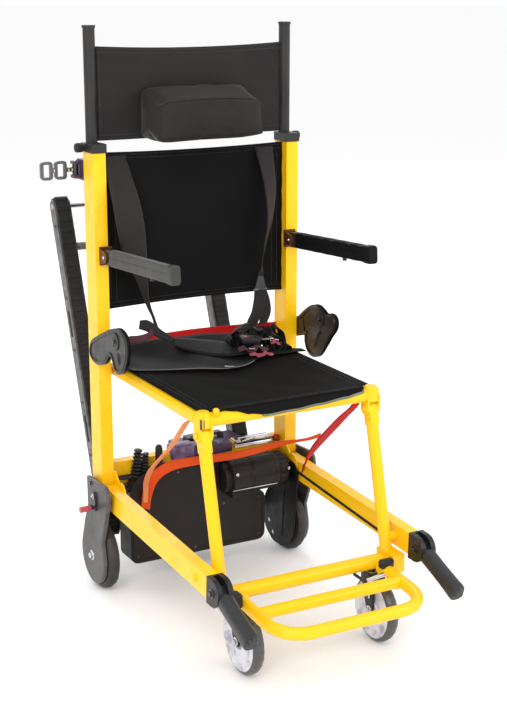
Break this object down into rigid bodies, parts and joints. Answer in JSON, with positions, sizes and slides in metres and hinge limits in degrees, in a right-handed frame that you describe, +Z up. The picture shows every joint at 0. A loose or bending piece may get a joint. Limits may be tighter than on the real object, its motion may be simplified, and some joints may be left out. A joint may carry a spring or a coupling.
{
  "type": "electric_stair_chair",
  "caption": "Electric stair chair: yellow folding frame with seat, head sling and cushion, folding footrest and handles, casters, rear wheels, drive unit and two crawler tracks",
  "frame": {"origin": "on the floor, in the middle of the chair's footprint", "axes": "+X to the sitter's left, -Y the way the sitter faces, +Z up"},
  "size_m": [0.6158, 1.0453, 1.203],
  "materials": {
    "yellow": "yellow enamel, satin",
    "black_metal": "black powder coat",
    "black_plastic": "moulded, matt",
    "cover_plastic": "moulded, fine grain",
    "motor_metal": "black painted",
    "battery_plastic": "moulded, matt",
    "bracket_metal": "coated",
    "grey_metal": "grey coated casting",
    "steel": "bright",
    "cloth": "coated black cloth",
    "black_web": "black webbing",
    "red_web": "red webbing",
    "orange_web": "orange webbing",
    "arm_cover": "padded cover",
    "grip": "hand grip",
    "caster": "grey wheel",
    "tyre": "black rubber",
    "belt_rubber": "black rubber",
    "red_metal": "red coated"
  },
  "bodies": {
    "main_frame": {"post_right": "yellow", "post_left": "yellow", "lower_crossbar": "yellow", "upper_crossbar": "black_metal", "collar_right": "black_plastic", "collar_left": "black_plastic", "backrest_panel": "cloth", "shoulder_strap_right": "black_web", "shoulder_strap_left": "black_web", "red_band": "red_web", "orange_band": "orange_web", "seat_lock_right": "black_plastic", "seat_lock_left": "black_plastic", "arm_bracket_right": "black_metal", "arm_bracket_left": "black_metal", "wheel_carrier_right": "grey_metal", "wheel_carrier_left": "grey_metal", "drive_housing": "cover_plastic", "drive_motor": "motor_metal", "gearbox": "grey_metal", "battery_pack": "battery_plastic", "lever_bracket": "bracket_metal"},
    "head_frame": {"head_tube_right": "black_metal", "head_tube_left": "black_metal", "head_sling": "cloth", "head_cushion": "cloth"},
    "clamp_right": {"clamp_knob_right": "black_plastic"},
    "clamp_left": {"clamp_knob_left": "black_plastic"},
    "arm_right": {"armrest_right": "arm_cover"},
    "arm_left": {"armrest_left": "arm_cover"},
    "seat": {"seat_frame": "yellow", "seat_cloth": "cloth", "lap_belt": "black_web", "leg_strap_right": "orange_web", "leg_strap_left": "red_web"},
    "side_rails": {"side_tube_right": "yellow", "side_tube_left": "yellow", "end_block_right": "black_plastic", "end_block_left": "black_plastic"},
    "handle_right": {"carry_handle_right": "grip"},
    "handle_left": {"carry_handle_left": "grip"},
    "front_legs": {"leg_frame": "yellow"},
    "foot_support": {"footrest": "yellow"},
    "fork_right": {"caster_fork_right": "black_plastic"},
    "fork_left": {"caster_fork_left": "black_plastic"},
    "caster_right": {"caster_wheel_right": "caster"},
    "caster_left": {"caster_wheel_left": "caster"},
    "wheel_right": {"rear_wheel_right": "tyre"},
    "wheel_left": {"rear_wheel_left": "tyre"},
    "brake_right": {"brake_lever_right": "red_metal"},
    "brake_left": {"brake_lever_left": "red_metal"},
    "track_unit": {"track_rail_right": "grey_metal", "track_rail_left": "grey_metal", "track_belt_right": "belt_rubber", "track_belt_left": "belt_rubber", "track_tie": "grey_metal"},
    "drive_axle": {"drive_shaft": "steel"},
    "idler_axle": {"idler_shaft": "steel"},
    "tow_lever": {"operator_lever": "steel"},
    "knob": {"speed_knob": "black_plastic"}
  },
  "joints": [
    {"name": "head_height", "type": "slide", "parent": "main_frame", "child": "head_frame", "axis": [0, 0, 1], "range_m": [0, 0.12]},
    {"name": "clamp_turn_right", "type": "hinge", "parent": "main_frame", "child": "clamp_right", "pos_m": [-0.2289, 0.1788, 0.9603], "axis": [-1, 0, 0], "range_deg": [0, 180]},
    {"name": "clamp_turn_left", "type": "hinge", "parent": "main_frame", "child": "clamp_left", "pos_m": [0.2611, 0.1788, 0.9603], "axis": [1, 0, 0], "range_deg": [0, 180]},
    {"name": "arm_lift_right", "type": "hinge", "parent": "main_frame", "child": "arm_right", "pos_m": [-0.2014, 0.1183, 0.741], "axis": [-1, 0, 0], "range_deg": [0, 85]},
    {"name": "arm_lift_left", "type": "hinge", "parent": "main_frame", "child": "arm_left", "pos_m": [0.2336, 0.1183, 0.741], "axis": [-1, 0, 0], "range_deg": [0, 85]},
    {"name": "seat_fold", "type": "hinge", "parent": "main_frame", "child": "seat", "pos_m": [0.0161, 0.1668, 0.488], "axis": [-1, 0, 0], "range_deg": [0, 60], "deforming": ["leg_strap_right", "leg_strap_left"]},
    {"name": "rails_fold", "type": "hinge", "parent": "main_frame", "child": "side_rails", "pos_m": [0.0161, 0.10438, 0.232], "axis": [-1, 0, 0], "range_deg": [0, 60]},
    {"name": "legs_fold", "type": "hinge", "parent": "seat", "child": "front_legs", "pos_m": [0.0161, -0.2478, 0.459], "axis": [-1, 0, 0], "range_deg": [-60, 0]},
    {"name": "handle_fold_right", "type": "hinge", "parent": "side_rails", "child": "handle_right", "pos_m": [-0.2089, -0.38518, 0.19994], "axis": [-1, 0, 0], "range_deg": [0, 100]},
    {"name": "handle_fold_left", "type": "hinge", "parent": "side_rails", "child": "handle_left", "pos_m": [0.2411, -0.38518, 0.19994], "axis": [-1, 0, 0], "range_deg": [0, 100]},
    {"name": "footrest_fold", "type": "hinge", "parent": "front_legs", "child": "foot_support", "pos_m": [0.0161, -0.3497, 0.1562], "axis": [-1, 0, 0], "range_deg": [0, 92]},
    {"name": "caster_swivel_right", "type": "hinge", "parent": "front_legs", "child": "fork_right", "pos_m": [-0.1349, -0.3207, 0.1375], "axis": [0, 0, 1], "continuous": true},
    {"name": "caster_swivel_left", "type": "hinge", "parent": "front_legs", "child": "fork_left", "pos_m": [0.1671, -0.3207, 0.1375], "axis": [0, 0, 1], "continuous": true},
    {"name": "caster_roll_right", "type": "hinge", "parent": "fork_right", "child": "caster_right", "pos_m": [-0.1349, -0.3407, 0.068], "axis": [1, 0, 0], "continuous": true},
    {"name": "caster_roll_left", "type": "hinge", "parent": "fork_left", "child": "caster_left", "pos_m": [0.1671, -0.3407, 0.068], "axis": [1, 0, 0], "continuous": true},
    {"name": "wheel_roll_right", "type": "hinge", "parent": "main_frame", "child": "wheel_right", "pos_m": [-0.2164, 0.1668, 0.076], "axis": [1, 0, 0], "continuous": true},
    {"name": "wheel_roll_left", "type": "hinge", "parent": "main_frame", "child": "wheel_left", "pos_m": [0.2486, 0.1668, 0.076], "axis": [1, 0, 0], "continuous": true},
    {"name": "brake_turn_right", "type": "hinge", "parent": "main_frame", "child": "brake_right", "pos_m": [-0.2394, 0.1398, 0.222], "axis": [-1, 0, 0], "range_deg": [0, 35]},
    {"name": "brake_turn_left", "type": "hinge", "parent": "main_frame", "child": "brake_left", "pos_m": [0.2716, 0.1398, 0.222], "axis": [-1, 0, 0], "range_deg": [0, 35]},
    {"name": "track_swing", "type": "hinge", "parent": "main_frame", "child": "track_unit", "pos_m": [0.0161, 0.2562, 0.0975], "axis": [-1, 0, 0], "range_deg": [-14, 35]},
    {"name": "track_drive", "type": "hinge", "parent": "main_frame", "child": "drive_axle", "pos_m": [0.0161, 0.2562, 0.0975], "axis": [1, 0, 0], "continuous": true},
    {"name": "idler_turn", "type": "hinge", "parent": "track_unit", "child": "idler_axle", "pos_m": [0.0161, 0.50155, 0.79034], "axis": [1, 0, 0], "continuous": true},
    {"name": "lever_swing", "type": "hinge", "parent": "main_frame", "child": "tow_lever", "pos_m": [-0.2319, 0.2168, 0.912], "axis": [0, 0, -1], "range_deg": [0, 90]},
    {"name": "knob_turn", "type": "hinge", "parent": "main_frame", "child": "knob", "pos_m": [-0.0819, 0.15555, 0.2563], "axis": [0, 0, 1], "range_deg": [0, 270]}
  ],
  "couplings": [
    {"joint": "rails_fold", "follows": "seat_fold", "ratio": 1},
    {"joint": "legs_fold", "follows": "seat_fold", "ratio": -1},
    {"joint": "idler_turn", "follows": "track_drive", "ratio": 1}
  ]
}
